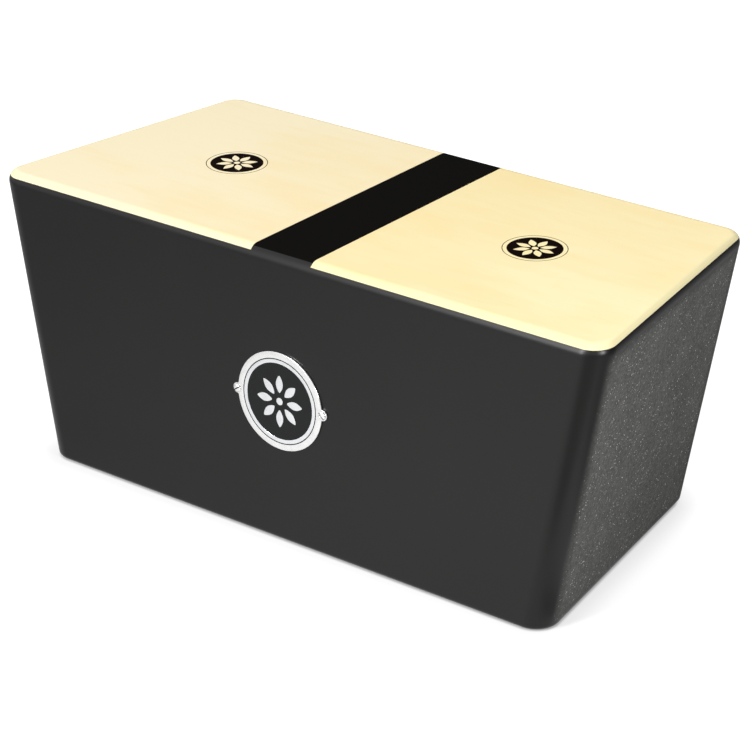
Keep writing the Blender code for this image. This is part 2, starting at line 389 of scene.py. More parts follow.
def read_values(items: bpy.types.bpy_prop_collection, name: str) -> Array:
    """Reads one vector of every point or face of a mesh.

    Args:
        items: The mesh's points or faces.
        name: What is read of each.

    Returns:
        The vectors, one to a row.
    """
    values = np.empty(len(items) * 3)
    items.foreach_get(name, values)
    return values.reshape(-1, 3)


def finish_faces(piece: Piece, finishes: tuple[Material, ...], numbers: Array) -> None:
    """Gives each face the finish whose number it has.

    Args:
        piece: The piece.
        finishes: Its finishes, from number 0.
        numbers: One number for each face.
    """
    for material in finishes:
        piece.data.materials.append(material)
    piece.data.polygons.foreach_set("material_index", numbers.astype(np.int32))


class Ramp(NamedTuple):
    """Smooth change from one value to another while what it reads goes from low to high."""

    low: float
    high: float
    to_low: float = 0.0
    to_high: float = 1.0


class Grain(NamedTuple):
    """Fractal noise: its waves to a metre along X, Y and Z, and how many finer layers it has."""

    waves: Place
    layers: float


class Relief(NamedTuple):
    """How far the highest points of a relief stand proud, and how strongly it shows."""

    proud: float
    strength: float


def grey(level: float) -> Colour:
    """Colour whose three parts are alike."""
    return level, level, level


def tinted(colour: Colour, tint: Colour) -> Colour:
    """Colour with each part times that of a tint."""
    return colour[0] * tint[0], colour[1] * tint[1], colour[2] * tint[2]


class Tree:
    """Node tree of a material or the world, with short ways to add nodes and join them."""

    def __init__(self, owner: Material | bpy.types.World) -> None:
        """Starts from an empty tree.

        Args:
            owner: The material or world that the tree belongs to.
        """
        owner.use_nodes = True
        self.tree = owner.node_tree
        self.tree.nodes.clear()

    def join(self, socket: Socket, value: Input | Place) -> None:
        """Links a socket into an input, or writes a number, place or colour there.

        Args:
            socket: The input.
            value: What goes into it.
        """
        if isinstance(value, Socket):
            self.tree.links.new(value, socket)
        elif isinstance(value, tuple) and socket.type == "RGBA":
            socket.default_value = (*value, 1.0)
        else:
            socket.default_value = value

    def add(self, kind: str, inputs: Sockets | None = None, **settings: object) -> bpy.types.Node:
        """Adds a node.

        Args:
            kind: Type of node, without the leading "ShaderNode".
            inputs: What goes into its sockets, by name or number.
            **settings: Properties of the node.

        Returns:
            The node.
        """
        node = self.tree.nodes.new("ShaderNode" + kind)
        for name, value in settings.items():
            setattr(node, name, value)
        for key, value in (inputs or {}).items():
            self.join(node.inputs[key], value)
        return node

    def end(self, shader: bpy.types.Node, output: str = "OutputMaterial") -> None:
        """Ends the tree in a shader."""
        self.tree.links.new(shader.outputs[0], self.add(output).inputs["Surface"])

    def math(self, operation: str, first: Input, second: Input = 0.0, clamp: bool = False) -> Socket:
        """Result of one operation on two values."""
        return self.add("Math", {0: first, 1: second}, operation=operation, use_clamp=clamp).outputs[0]

    def total(self, *values: Input) -> Socket:
        """Sum of the values."""
        return reduce(partial(self.math, "ADD"), values)

    def product(self, *values: Input) -> Socket:
        """Product of the values."""
        return reduce(partial(self.math, "MULTIPLY"), values)

    def highest(self, *values: Input) -> Socket:
        """Highest of the values."""
        return reduce(partial(self.math, "MAXIMUM"), values)

    def less(self, first: Input, second: Input) -> Socket:
        """First value less the second."""
        return self.math("SUBTRACT", first, second)

    def distance(self, across: Input, up: Input) -> Socket:
        """Root of the sum of two squares."""
        return self.math("SQRT", self.total(self.product(across, across), self.product(up, up)))

    def place(self, centre: Place = ORIGIN, scale: Place = (1.0, 1.0, 1.0)) -> Socket:
        """Object coordinates measured from a centre and then scaled.

        Args:
            centre: Where they are 0.
            scale: What each is multiplied by.

        Returns:
            The coordinates.
        """
        here = self.add("TexCoord").outputs["Object"]
        moved = self.add("VectorMath", {0: here, 1: centre}, operation="SUBTRACT").outputs[0]
        return self.add("VectorMath", {0: moved, 1: scale}, operation="MULTIPLY").outputs[0]

    def parts(self, place: Socket) -> tuple[Socket, Socket, Socket]:
        """X, Y and Z of a place or direction."""
        along, across, up = self.add("SeparateXYZ", {0: place}).outputs
        return along, across, up

    def noise(self, place: Socket, layers: float) -> Socket:
        """Value of fractal noise at a place, about 0.5 in the middle."""
        return self.add("TexNoise", {"Vector": place, "Scale": 1.0, "Detail": layers}).outputs["Fac"]

    def grain(self, grain: Grain, centre: Place = ORIGIN) -> Socket:
        """Value of a grain on Object coordinates measured from a centre."""
        return self.noise(self.place(centre, grain.waves), grain.layers)

    def ramp(self, value: Input, ramp: Ramp) -> Socket:
        """A value read through a ramp."""
        inputs = {"Value": value} | dict(zip(("From Min", "From Max", "To Min", "To Max"), ramp))
        return self.add("MapRange", inputs, interpolation_type="SMOOTHSTEP").outputs["Result"]

    def mix(self, share: Input, first: Input | Colour, second: Input | Colour) -> Socket:
        """Colour between two, by a share from 0 to 1; the node's sockets for colours go by number."""
        return self.add("Mix", {0: share, 6: first, 7: second}, data_type="RGBA").outputs[2]

    def bump(self, height: Socket, relief: Relief) -> Socket:
        """Normal of a relief whose height is 1 at its highest points."""
        inputs = {"Height": height, "Distance": relief.proud, "Strength": relief.strength}
        return self.add("Bump", inputs).outputs["Normal"]


@dataclass(frozen=True)
class Finish:
    """Finish that is made as a material; each kind says what goes into its Principled shader."""

    name: str

    def inputs(self, tree: Tree) -> Sockets:
        """What goes into the shader's sockets."""
        raise NotImplementedError(self.name)

    def build(self) -> Material:
        """Makes the material.

        Returns:
            The material, under the finish's name.
        """
        material = bpy.data.materials.new(self.name)
        tree = Tree(material)
        tree.end(tree.add("BsdfPrincipled", self.inputs(tree)))
        return material


def even(waves: float, layers: float) -> Grain:
    """Grain that is alike along X, Y and Z."""
    return Grain(grey(waves), layers)


@dataclass(frozen=True)
class Lacquer(Finish):
    """Sprayed black lacquer: nearly even, with a faint orange peel and a roughness that wanders a little."""

    colour: Colour = (0.0026, 0.0025, 0.0023)
    lighter: Colour = grey(1.15)
    roughness: Ramp = Ramp(0.3, 0.7, 0.295, 0.345)
    shine: float = 0.355
    drift: Grain = even(14.0, 3.0)
    dust: Grain = even(900.0, 2.0)
    peel: Relief = Relief(0.00004, 0.05)

    def inputs(self, tree: Tree) -> Sockets:
        """Tone and roughness that drift together, over a fine relief.

        Args:
            tree: Tree of the material.

        Returns:
            What goes into the shader's sockets.
        """
        drift = tree.grain(self.drift)
        return {
            "Base Color": tree.mix(drift, self.colour, tinted(self.colour, self.lighter)),
            "Roughness": tree.ramp(drift, self.roughness),
            "Specular IOR Level": self.shine,
            "Normal": tree.bump(tree.grain(self.dust), self.peel),
        }


@dataclass(frozen=True)
class Enamel(Lacquer):
    """Smooth black enamel, with a slight haze in its tone, its roughness and its relief."""

    colour: Colour = (0.0038, 0.0042, 0.0046)
    lighter: Colour = grey(1.2)
    roughness: Ramp = Ramp(0.3, 0.7, 0.27, 0.34)
    shine: float = 0.26
    drift: Grain = even(120.0, 3.0)
    dust: Grain = even(120.0, 3.0)
    peel: Relief = Relief(0.00002, 0.05)


class Specks(NamedTuple):
    """Scattered dots: size of the cells, radius of a dot as a share of its cell, how rare and how strong."""

    cell: float
    radius: float
    rarity: float
    strength: float


@dataclass(frozen=True)
class GripCoat(Finish):
    """Rough dark grey coat on the ends, with fine raised specks painted pale as glints, which fades into
    lacquer at its border.
    """

    lacquer: Lacquer
    cover: str = "coat"
    colour: Colour = (0.107, 0.107, 0.103)
    darker: Colour = grey(0.66)
    lighter: Colour = (1.24, 1.24, 1.22)
    # painted glints: the pale colour of the specks stands in for sparkle off their bumps
    painted_glint: Colour = (0.95, 0.95, 0.90)
    roughness: Ramp = Ramp(0.0, 1.0, 0.32, 0.88)
    mottle: Grain = even(420.0, 4.0)
    clouds: Grain = even(28.0, 2.0)
    mottle_share: float = 0.75
    tone: Ramp = Ramp(0.32, 0.68)
    large: Specks = Specks(0.0024, 0.21, 0.20, 1.0)
    small: Specks = Specks(0.0012, 0.27, 0.30, 0.40)
    dot_core: float = 0.6
    chance_span: float = 0.4
    clusters: Grain = even(90.0, 2.0)
    thinning: Ramp = Ramp(0.38, 0.62, 0.25, 1.0)
    grit: Grain = even(1300.0, 3.0)
    grit_share: float = 0.7
    relief: Relief = Relief(0.00010, 0.45)

    def dots(self, tree: Tree, specks: Specks) -> Socket:
        """Scattered dots: one in each cell at most, of differing strength, and none in some cells.

        Args:
            tree: Tree of the material.
            specks: Their size and number.

        Returns:
            Their strength, and 0 beside them.
        """
        spread = tree.add("TexVoronoi", {"Vector": tree.place(), "Scale": 1.0 / specks.cell}, feature="F1")
        dot = tree.ramp(spread.outputs["Distance"], Ramp(specks.radius, specks.radius * self.dot_core))
        chance = tree.add("SeparateColor", {0: spread.outputs["Color"]}).outputs[0]
        kept = Ramp(specks.rarity, specks.rarity + self.chance_span, 0.0, specks.strength)
        return tree.product(dot, tree.ramp(chance, kept))

    def inputs(self, tree: Tree) -> Sockets:
        """Mottled grey with clustered raised specks, painted pale as glints, as far as the piece's own cover
        reaches, and lacquer past it.

        Args:
            tree: Tree of the material.

        Returns:
            What goes into the shader's sockets.
        """
        cover = tree.add("Attribute", attribute_name=self.cover).outputs["Fac"]
        both = tree.math("ADD", self.dots(tree, self.large), self.dots(tree, self.small), clamp=True)
        dots = tree.product(both, tree.ramp(tree.grain(self.clusters), self.thinning))
        mottle = tree.product(tree.grain(self.mottle), self.mottle_share)
        tone = tree.total(mottle, tree.product(tree.grain(self.clouds), 1.0 - self.mottle_share))
        darker, lighter = (tinted(self.colour, tint) for tint in (self.darker, self.lighter))
        # painted glints: the specks are real bumps, and their pale colour stands in for the sparkle off them
        coat = tree.mix(dots, tree.mix(tree.ramp(tone, self.tone), darker, lighter), self.painted_glint)
        height = tree.total(tree.product(tree.grain(self.grit), self.grit_share), dots)
        return {
            "Base Color": tree.mix(cover, self.lacquer.colour, coat),
            "Roughness": tree.ramp(cover, self.roughness),
            "Specular IOR Level": self.lacquer.shine,
            "Normal": tree.bump(tree.product(height, cover), self.relief),
        }


@dataclass(frozen=True)
class Rosette:
    """Eight-petalled flower, the plain ornament of the badge and of the marks on the playing boards.

    A petal's half width is its widest half width times the sine of half a turn along its length.
    """

    petals: int = 8
    inner: float = 0.0046
    outer: float = 0.0205
    half_width: float = 0.0036
    boss: float = 0.0030
    petal_edge: Ramp = Ramp(-0.000024, 0.00012)
    boss_edge: float = 0.00012

    def scaled(self, share: float) -> "Rosette":
        """The same flower at another size."""
        sizes = (share * size for size in (self.inner, self.outer, self.half_width, self.boss))
        return Rosette(self.petals, *sizes)

    def ink(self, tree: Tree, away: Input, angle: Input) -> Socket:
        """Prints the flower, from the distance and the angle about its middle.

        Args:
            tree: Tree of the material.
            away: Distance from the middle.
            angle: Angle about it.

        Returns:
            1 on the flower and 0 beside it.
        """
        gap = tree.math("PINGPONG", angle, math.pi / self.petals)
        off_line = tree.product(away, tree.math("SINE", gap))
        along = tree.math("DIVIDE", tree.less(away, self.inner), self.outer - self.inner, clamp=True)
        width = tree.product(tree.math("SINE", tree.product(along, math.pi)), self.half_width)
        petal = tree.ramp(tree.less(width, off_line), self.petal_edge)
        return tree.highest(petal, tree.ramp(away, Ramp(self.boss + self.boss_edge, self.boss)))


@dataclass(frozen=True)
class PalePly(Finish):
    """Pale plywood under clear satin lacquer, with its printed mark and its plies at the rounded edge.

    Its face veneer has broad warm clouds, short soft flecks, fine streaks and a drift of tone, all along X.
    """

    mark: Place
    top: float
    light: Colour
    warm: Colour
    drift: Ramp
    origin: Place
    clouds: tuple[Grain, Ramp] = (Grain((9.0, 22.0, 0.0), 2.0), Ramp(0.34, 0.70, 0.0, 0.55))
    flecks: tuple[Grain, Ramp] = (Grain((26.0, 110.0, 0.0), 3.0), Ramp(0.40, 0.76, 0.0, 0.36))
    streaks: tuple[Grain, Ramp] = (Grain((30.0, 700.0, 0.0), 3.0), Ramp(0.45, 0.80, 0.0, 0.14))
    ink: Colour = (0.004, 0.0014, 0.0008)
    flower: Rosette = Rosette().scaled(0.72)
    disc: Ramp = Ramp(0.0188, 0.0186)
    ring_radius: float = 0.0216
    ring: Ramp = Ramp(0.00033, 0.00021)
    # painted shade: just below the top, the rounded edge takes a darker tint that stands in for the lower
    # light there
    rounded: Ramp = Ramp(0.0001, 0.0012)
    painted_edge_shade_tint: Colour = (0.92, 0.935, 0.92)
    core_from: Ramp = Ramp(0.0010, 0.0012, 0.0, 0.12)
    core_to: Ramp = Ramp(0.0024, 0.0022)
    core_tint: Colour = (0.95, 0.90, 0.80)
    pores: Grain = Grain((60.0, 1600.0, 0.0), 2.0)
    roughness: Ramp = Ramp(0.3, 0.7, 0.40, 0.46)
    shine: float = 0.005
    relief: Relief = Relief(0.00003, 0.10)

    def printed(self, tree: Tree, across: Socket, deep: Socket) -> Socket:
        """Prints the mark: a disc with the flower left clear in it, and a thin ring round it.

        Args:
            tree: Tree of the material.
            across: Distance from the mark's middle along X.
            deep: The same along Y.

        Returns:
            1 on the ink and 0 beside it.
        """
        away = tree.distance(across, deep)
        flower = self.flower.ink(tree, away, tree.math("ARCTAN2", deep, across))
        disc = tree.product(tree.ramp(away, self.disc), tree.less(1.0, flower))
        off_ring = tree.math("ABSOLUTE", tree.less(away, self.ring_radius))
        return tree.highest(disc, tree.ramp(off_ring, self.ring))

    def inputs(self, tree: Tree) -> Sockets:
        """Face veneer, then the rounded edge, paler in tone and darkened as painted shade, with a darker ply
        in it, then the mark.

        Args:
            tree: Tree of the material.

        Returns:
            What goes into the shader's sockets.
        """
        across, deep, _ = tree.parts(tree.place(self.mark))
        figure = (self.clouds, self.flecks, self.streaks)
        warmth = [tree.ramp(tree.grain(grain, self.origin), ramp) for grain, ramp in figure]
        face = tree.mix(tree.total(*warmth, tree.ramp(across, self.drift)), self.light, self.warm)
        drop = tree.less(self.top, tree.parts(tree.place())[2])
        # painted shade on the rounded edge, in a paler tone
        edge = tree.mix(tree.ramp(drop, self.rounded), face, tinted(self.light, self.painted_edge_shade_tint))
        core = tree.product(tree.ramp(drop, self.core_from), tree.ramp(drop, self.core_to))
        wood = tree.mix(core, edge, tinted(self.warm, self.core_tint))
        pores = tree.grain(self.pores)
        return {
            "Base Color": tree.mix(self.printed(tree, across, deep), wood, self.ink),
            "Roughness": tree.ramp(pores, self.roughness),
            "Specular IOR Level": self.shine,
            "Normal": tree.bump(pores, self.relief),
        }


@dataclass(frozen=True)
class RawBoard(Finish):
    """Bare fibreboard inside the case: brown, matt and flecked with short fibres."""

    colour: Colour = (0.36, 0.235, 0.135)
    lighter: Colour = grey(1.2)
    fleck: Colour = (0.20, 0.125, 0.070)
    clouds: Grain = even(45.0, 4.0)
    fibres: Grain = Grain((500.0, 900.0, 1400.0), 3.0)
    flecked: Ramp = Ramp(0.56, 0.76)
    roughness: float = 0.86
    shine: float = 0.25
    relief: Relief = Relief(0.0002, 0.35)

    def inputs(self, tree: Tree) -> Sockets:
        """Clouded brown with fibres that are darker and stand proud.

        Args:
            tree: Tree of the material.

        Returns:
            What goes into the shader's sockets.
        """
        fibres = tree.grain(self.fibres)
        body = tree.mix(tree.grain(self.clouds), self.colour, tinted(self.colour, self.lighter))
        return {
            "Base Color": tree.mix(tree.ramp(fibres, self.flecked), body, self.fleck),
            "Roughness": self.roughness,
            "Specular IOR Level": self.shine,
            "Normal": tree.bump(fibres, self.relief),
        }


@dataclass(frozen=True)
class Plated(Finish):
    """Bright plate, brushed in fine circles about its middle, and a little cooler inside its groove."""

    middle: Place
    groove: Ramp
    colour: Colour = (0.98, 0.98, 0.975)
    cooler: Colour = (0.92, 0.935, 0.955)
    dull: Colour = grey(0.2)
    haze: Grain = even(220.0, 3.0)
    hazy: Ramp = Ramp(0.4, 0.7, 0.0, 0.08)
    metallic: float = 0.88
    brush: Grain = even(5200.0, 3.0)
    roughness: Ramp = Ramp(0.3, 0.7, 0.16, 0.26)
    relief: Relief = Relief(0.00002, 0.12)

    def inputs(self, tree: Tree) -> Sockets:
        """Slightly hazy metal, over a relief that depends on the distance from the middle alone.

        Args:
            tree: Tree of the material.

        Returns:
            What goes into the shader's sockets.
        """
        across, _, up = tree.parts(tree.place(self.middle))
        away = tree.distance(across, up)
        ringed = tree.add("CombineXYZ", {0: tree.product(away, self.brush.waves[0])}).outputs[0]
        brush = tree.noise(ringed, self.brush.layers)
        tone = tree.mix(tree.ramp(away, self.groove), self.cooler, self.colour)
        return {
            "Base Color": tree.mix(tree.ramp(tree.grain(self.haze), self.hazy), tone, self.dull),
            "Metallic": self.metallic,
            "Roughness": tree.ramp(brush, self.roughness),
            "Normal": tree.bump(brush, self.relief),
        }


@dataclass
class Walls:
    """Painted front, back and ends, bare on their inner faces, with a sound port into each chamber."""

    form: CaseForm
    shift: float
    port_radius: float = 0.025
    port_roundover: float = 0.003
    port_from_middle: float = 0.105
    port_past: float = 0.006
    port_facets: int = 128
    port_round_facets: int = 10
    seam_overlap: float = 0.003
    coat_at_corner: tuple[float, float] = (0.0095, 0.0192)
    coat_at_foot: tuple[float, float] = (0.0020, 0.0085)
    coat_at_top: tuple[float, float] = (0.0062, 0.0165)
    inside_slack: float = 0.0008
    rows_up: int = 84
    arc_facets: int = 36
    run_facets: int = 90

    def section(self, outer: Array, inner_top: Array, inner_low: Array, step: Array) -> Loft:
        """Wall from its outer skin, its inner face and the rebate for the bottom board.

        Args:
            outer: Outer skin from the foot's lip to the joint with the boards, as rows by columns by 3.
            inner_top: Inner face at that joint, by columns.
            inner_low: Inner face at the rebate, by columns.
            step: Outer corner of the rebate, by columns.

        Returns:
            The solid, one loop for each column.
        """
        loops = np.concatenate([outer, inner_top[None], inner_low[None], step[None]])
        return Loft(np.swapaxes(loops, 0, 1))

    def rebate_row(self) -> Array:
        """Height and inset of the rebate's outer corner."""
        return np.array([[self.form.bottom_seat, self.form.foot_lip]])

    def long_skin(self, wall: LongWall, rows: Array) -> Array:
        """Outer skin of a long wall from its low end to its high end, rounded round both upright corners.

        Args:
            wall: Which of the two.
            rows: Heights and insets, one pair for each row.

        Returns:
            Points as rows by columns by 3.
        """
        form = self.form
        middle, seam = (form.behind(wall, distance) for distance in (form.corner, form.wall_seam))
        start = np.full(len(rows), wall.value * QUARTER)
        high = form.arc(middle, rows, start, form.seam_angle(seam, middle, rows[:, 1]), self.arc_facets)
        return joined([mirrored(high)[:, ::-1], high], self.run_facets)

    def long_wall(self, wall: LongWall) -> Loft:
        """Front or back wall; its inner face is a plane the wall's thickness behind the outer face.

        Args:
            wall: Which of the two.

        Returns:
            The solid, whose inner face narrows towards the foot as the outer one does.
        """
        form = self.form
        outer = self.long_skin(wall, form.wall_rows(self.rows_up))
        widest = np.abs(outer[:, :, 0]).max()
        inner = outer[-1].copy()
        inner[:, 0] *= (widest - self.seam_overlap) / np.abs(inner[:, 0]).max()
        inner[:, 1] = form.behind(wall, form.wall_seam)
        low = inner.copy()
        low[:, 0] *= 1.0 - form.taper * (form.board_seam - form.bottom_seat) / widest
        low[:, 2] = form.bottom_seat
        return self.section(outer, inner, low, self.long_skin(wall, self.rebate_row())[0])

    def end_skin(self, side: Side, rows: Array) -> Array:
        """Outer skin of an end from the front joint to the back joint, with what it has of the corners.

        The front arc turns from the joint to the way the end faces, and the back arc from there to its joint.

        Args:
            side: Which end.
            rows: Heights and insets, one pair for each row.

        Returns:
            Points as rows by columns by 3.
        """
        form = self.form
        facing = np.full(len(rows), form.turn)
        arcs = []
        for wall in LongWall:
            middle, seam = (form.behind(wall, distance) for distance in (form.corner, form.wall_seam))
            angles = [form.seam_angle(seam, middle, rows[:, 1]), facing]
            arcs.append(form.arc(middle, rows, *angles[:: -wall.value], self.arc_facets // 2))
        skin = joined(arcs, self.run_facets)
        return skin if side is Side.HIGH else mirrored(skin)

    def end_wall(self, side: Side) -> Loft:
        """End between the long walls; its inner face is a plane the wall's thickness inside the outer face.

        Args:
            side: Which end.

        Returns:
            The solid.
        """
        form = self.form
        outer = self.end_skin(side, form.wall_rows(self.rows_up))
        slant = math.sqrt(1.0 + form.splay**2 + form.taper**2)
        faces = []
        for height in (form.board_seam, form.bottom_seat):
            face = outer[-1].copy()
            face[:, 0] = side.value * (form.reach(face[:, 1], height) - form.wall * slant)
            face[:, 2] = height
            faces.append(face)
        return self.section(outer, *faces, self.end_skin(side, self.rebate_row())[0])

    def coat_cover(self, depth: Array, height: Array) -> Array:
        """Cover of the grip coat: full on the flat of an end, fading out on the rounded edges round it.

        Args:
            depth: Depth of each point.
            height: Height of each point.

        Returns:
            The product of an eased rise from each of the four edges.
        """
        form = self.form
        along = ease(*self.coat_at_corner, depth) * ease(*self.coat_at_corner, form.depth - depth)
        return along * ease(*self.coat_at_foot, height) * ease(*self.coat_at_top, form.height - height)

    def port_tool(self, side: Side) -> Loft:
        """Cutting shape of a sound port: a cylinder that flares in a quarter round at the player's face.

        Args:
            side: Whose chamber the port opens.

        Returns:
            The solid, a little longer than the wall is thick.
        """
        form = self.form
        flare, short = rounding(self.port_roundover, steps(0.0, QUARTER, self.port_round_facets))
        radii = self.port_radius + np.concatenate([[0.0], flare, [flare[-1]]])
        ends = form.depth - form.wall - self.port_past, form.depth + self.port_past
        depths = np.concatenate([[ends[0]], form.depth - short, [ends[1]]])
        height = (form.bottom_board + form.height - form.board - form.glue_line) / 2
        return Loft(turned(radii, depths, (side.value * self.port_from_middle, height), self.port_facets))

    def cut_ports(self, piece: Piece) -> None:
        """Cuts both sound ports and keeps the result as the piece's own mesh.

        Args:
            piece: The back wall.
        """
        tools = []
        for side in Side:
            tool = make_piece(f"port_tool_{side.name.lower()}", [self.port_tool(side)], self.shift)
            tools.append(tool)
            cut = piece.modifiers.new(tool.name, "BOOLEAN")
            cut.object = tool
            cut.operation = "DIFFERENCE"
            cut.solver = "EXACT"
        bpy.context.view_layer.update()
        evaluated = piece.evaluated_get(bpy.context.evaluated_depsgraph_get())
        mesh = bpy.data.meshes.new_from_object(evaluated)
        piece.modifiers.clear()
        old = piece.data
        piece.data = mesh
        mesh.name = piece.name
        bpy.data.meshes.remove(old)
        for tool in tools:
            bpy.data.objects.remove(tool, do_unlink=True)
        smooth(mesh)

    def finish(self, piece: Piece, finishes: tuple[Material, ...], cover: str) -> None:
        """Finishes a wall's faces and writes how far the grip coat covers each of its points.

        A face is inside where its middle lies as deep as the wall is thick and it faces the case's middle. On
        the outer skin the grip coat begins part of the way round the upright corners, on the long walls.

        Args:
            piece: The wall.
            finishes: Bare board, grip coat and, for a long wall, paint.
            cover: Name under which the piece carries the coat's cover.
        """
        form = self.form
        points = read_values(piece.data.vertices, "co")
        layer = piece.data.attributes.new(cover, "FLOAT", "POINT")
        values = self.coat_cover(points[:, 1] - self.shift, points[:, 2])
        layer.data.foreach_set("value", values.astype(np.float32))
        middles, normals = (read_values(piece.data.polygons, name) for name in ("center", "normal"))
        depth, height = middles[:, 1] - self.shift, middles[:, 2]
        to_face = np.minimum(depth, form.depth - depth)
        deepest = np.minimum(form.reach(depth, height) - np.abs(middles[:, 0]), to_face)
        to_middle = np.stack([-middles[:, 0], form.depth / 2 - depth, 0.0 * depth], axis=-1)
        inward = np.einsum("ij,ij->i", normals, to_middle) > 0.0
        inside = (deepest > form.wall - self.inside_slack) & inward & (height > form.bottom_seat)
        coated = (to_face > self.coat_at_corner[0]) | (len(finishes) < 3)
        finish_faces(piece, finishes, np.where(inside, 0, np.where(coated, 1, 2)))

    def build(self, paint: Material, coat: Material, bare: Material, cover: str) -> None:
        """Makes the four walls.

        Args:
            paint: Lacquer of the long walls.
            coat: Grip coat of the ends.
            bare: Bare board of the inner faces.
            cover: Name under which the coat's material reads its cover.
        """
        for wall in LongWall:
            node = f"{wall.name.lower()}_panel"
            piece = make_piece(f"painted_{node}", [self.long_wall(wall)], self.shift)
            if wall is LongWall.BACK:
                self.cut_ports(piece)
            self.finish(piece, (bare, coat, paint), cover)
            take_place(node)
        for side in Side:
            piece = make_piece(f"coated_{side.hand}_end", [self.end_wall(side)], self.shift)
            self.finish(piece, (bare, coat), cover)
            take_place(f"{side.hand}_end_panel")


@dataclass
class Top:
    """The two playing boards and the rail between them, rounded over with the case."""

    form: CaseForm
    shift: float
    corner_facets: int = 36
    run_facets: int = 40
    rail_facets: int = 60
    easing: float = 0.0010
    satin_from: float = math.radians(30.0)

    def edge_rows(self) -> Array:
        """Heights and insets of the boards' rounded edge, from the joint with the walls up to the flat."""
        return self.form.top_rows(self.form.board_seam, self.form.height)

    def board(self, side: Side) -> Loft:
        """Playing board: loops round its outline, level by level, with a straight inner edge along the rail.

        Args:
            side: Which board.

        Returns:
            The solid, one loop for each level.
        """
        form = self.form
        flat = np.array([[form.height, form.top_roundover + self.easing]])
        rows = np.concatenate([self.edge_rows(), flat])
        inner = np.full(len(rows), side.value * form.rail_offset + (form.rail_width + form.glue_line) / 2)
        inner[-1] += self.easing
        facing = np.full(len(rows), form.turn)
        quarter = np.full(len(rows), QUARTER)
        front = form.arc(form.corner, rows, -quarter, facing, self.corner_facets)
        back = form.arc(form.depth - form.corner, rows, facing, quarter, self.corner_facets)
        near = np.stack([inner, rows[:, 1], rows[:, 0]], axis=-1)[:, None]
        far = np.stack([inner, form.depth - rows[:, 1], rows[:, 0]], axis=-1)[:, None]
        loops = joined([near, front, back, far], self.run_facets, closed=True)
        return Loft(loops if side is Side.HIGH else mirrored(loops))

    def rail(self) -> Loft:
        """Rail: its section along the depth, rounded at both ends, carried across the width.

        Returns:
            The solid, one loop for each place across it.
        """
        form = self.form
        front = self.edge_rows()[:, ::-1]
        level = steps(form.top_roundover, form.depth - form.top_roundover, self.rail_facets)[1:-1]
        back = front[::-1] * (-1.0, 1.0) + (form.depth, 0.0)
        section = np.concatenate([front, np.stack([level, np.full_like(level, form.height)], axis=-1), back])
        half = form.rail_width / 2
        across = form.rail_offset + np.array([-half, -half + self.easing, 0.0, half - self.easing, half])
        loops = np.empty((len(across), len(section), 3))
        loops[:, :, 0] = across[:, None]
        loops[:, :, 1:] = section[None]
        return Loft(loops)

    def build(self, plies: dict[Side, Material], flatted: Material, paint: Material) -> None:
        """Makes the boards and the rail, whose level top is flatted and whose rounded ends are satin.

        Args:
            plies: Plywood of each board.
            flatted: Flatted lacquer of the rail's top.
            paint: Satin lacquer of its ends.
        """
        for side in Side:
            name = side.name.lower()
            piece = make_piece(f"ply_{name}_board", [self.board(side)], self.shift)
            piece.data.materials.append(plies[side])
            take_place(f"{name}_playing_board")
        rail = make_piece("painted_rail", [self.rail()], self.shift)
        normals = read_values(rail.data.polygons, "normal")
        finish_faces(rail, (flatted, paint), np.abs(normals[:, 2]) < math.cos(self.satin_from))
        take_place("centre_rail")


